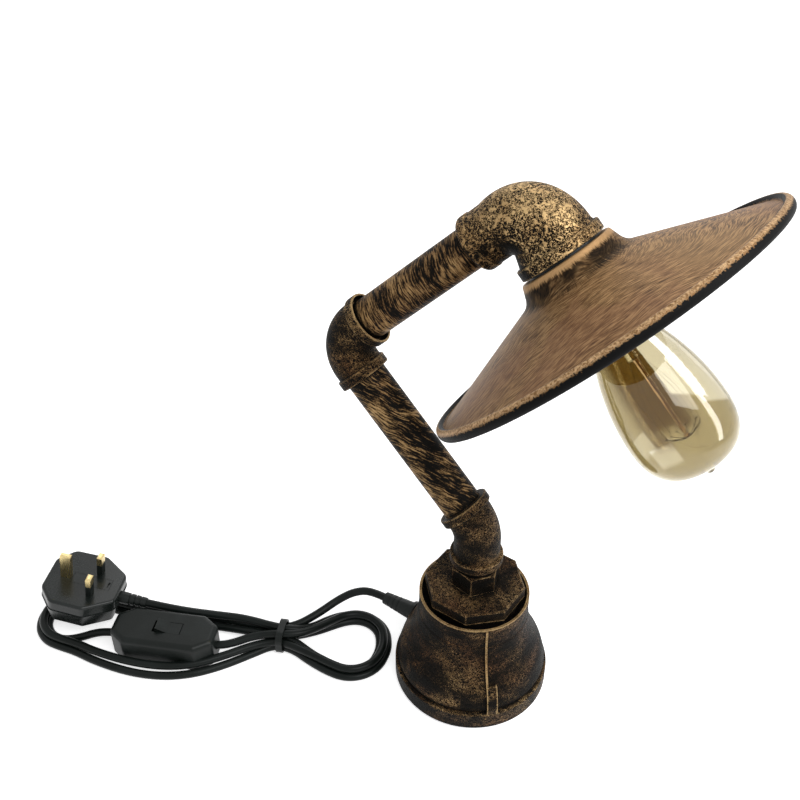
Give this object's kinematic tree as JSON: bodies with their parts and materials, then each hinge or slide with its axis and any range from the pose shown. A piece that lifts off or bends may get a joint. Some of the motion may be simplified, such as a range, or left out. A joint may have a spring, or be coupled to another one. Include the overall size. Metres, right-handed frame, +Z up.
{
  "type": "industrial pipe table lamp",
  "caption": "Swivelling table lamp made of screwed pipe fittings, with a cone shade, a squirrel-cage bulb and a mains lead with an inline rocker switch and a fused plug.",
  "frame": {"origin": "centre of the foot pad underside, on the axis of the base", "axes": "+Z up along the axis of the base; the lower pipe leans towards -X; the mains lead lies on the -X side"},
  "size_m": [0.4552, 0.3152, 0.3867],
  "materials": {
    "cast_bronze": "black hammered casting, rubbed with bronze on its high places",
    "pipe_bronze": "bronze brushed over black in fine streaks round the pipe",
    "shade_bronze": "brown bronze brushed in fine curved lines outside, black inside",
    "steel": "zinc-plated steel",
    "black_plastic": "satin black moulded plastic",
    "black_cord": "satin black flexible lead",
    "brass": "brushed brass",
    "cap_metal": "rolled brass cap",
    "ceramic": "white glazed ceramic",
    "black_glass": "black glass insulator",
    "amber_glass": "clear glass with a thin amber coat",
    "stem_glass": "clear glass stem and post",
    "filament_wire": "dark drawn wire",
    "pad_foam": "black foam rubber"
  },
  "bodies": {
    "base": {"foot_pad": "pad_foam", "base_plate": "steel", "base_bell": "cast_bronze", "octagon_bushing": "cast_bronze", "hex_nipple": "cast_bronze", "strain_relief": "black_plastic", "gland_nut": "black_plastic", "flex_base": "black_cord", "cord_lamp_lead": "black_cord", "cord_hank": "black_cord", "cord_tie": "black_plastic", "cord_plug_lead": "black_cord", "switch_base": "black_plastic", "switch_cover": "black_plastic", "switch_terminals": "brass", "switch_contacts": "brass", "switch_screws": "steel", "rocker_pin": "steel", "plug_base": "black_plastic", "plug_cover": "black_plastic", "plug_cord_guard": "black_plastic", "earth_pin": "brass", "line_pin": "brass", "neutral_pin": "brass", "pin_sleeves": "black_plastic"},
    "lower_arm": {"elbow_45": "cast_bronze", "lower_pipe": "pipe_bronze", "flex_lower": "black_cord"},
    "upper_arm": {"elbow_90": "cast_bronze", "upper_pipe": "pipe_bronze", "flex_upper": "black_cord"},
    "head": {"head_elbow": "cast_bronze", "head_plug": "steel", "flex_head": "black_cord", "shade_spacer": "black_plastic", "threaded_tube": "steel", "shade": "shade_bronze", "lock_nut": "steel", "holder_cap": "black_plastic", "holder_skirt": "black_plastic", "holder_insert": "ceramic", "holder_screws": "steel", "screw_shell": "brass", "centre_contact": "brass"},
    "bulb": {"bulb_glass": "amber_glass", "bulb_cap": "cap_metal", "cap_insulator": "black_glass", "cap_contact": "brass", "bulb_stem": "stem_glass", "support_post": "stem_glass", "support_hooks": "filament_wire", "filament": "filament_wire"},
    "switch_rocker": {"rocker": "black_plastic"},
    "fuse_drawer": {"fuse_carrier": "black_plastic", "fuse_body": "ceramic", "fuse_caps": "steel"}
  },
  "joints": [
    {"name": "base_swivel", "type": "hinge", "parent": "base", "child": "lower_arm", "pos_m": [0, 0, 0.14267], "axis": [0, 0, 1], "range_deg": [-90, 90]},
    {"name": "elbow_swivel", "type": "hinge", "parent": "lower_arm", "child": "upper_arm", "pos_m": [-0.10733, 0, 0.24999], "axis": [-0.7071, 0, 0.7071], "range_deg": [-60, 60]},
    {"name": "head_swivel", "type": "hinge", "parent": "upper_arm", "child": "head", "pos_m": [-0.00201, 0.04316, 0.35531], "axis": [0.6792, 0.2783, 0.6792], "range_deg": [-75, 75]},
    {"name": "bulb_unscrew", "type": "slide", "parent": "head", "child": "bulb", "axis": [0.7141, -0.0364, -0.6991], "range_m": [0, 0.03]},
    {"name": "rocker_press", "type": "hinge", "parent": "base", "child": "switch_rocker", "pos_m": [-0.19468, -0.10739, 0.0203], "axis": [0.4067, -0.9135, 0], "range_deg": [0, 24]},
    {"name": "fuse_drawer_pull", "type": "slide", "parent": "base", "child": "fuse_drawer", "axis": [0.1429, 0.0636, 0.9877], "range_m": [0, 0.014]}
  ]
}
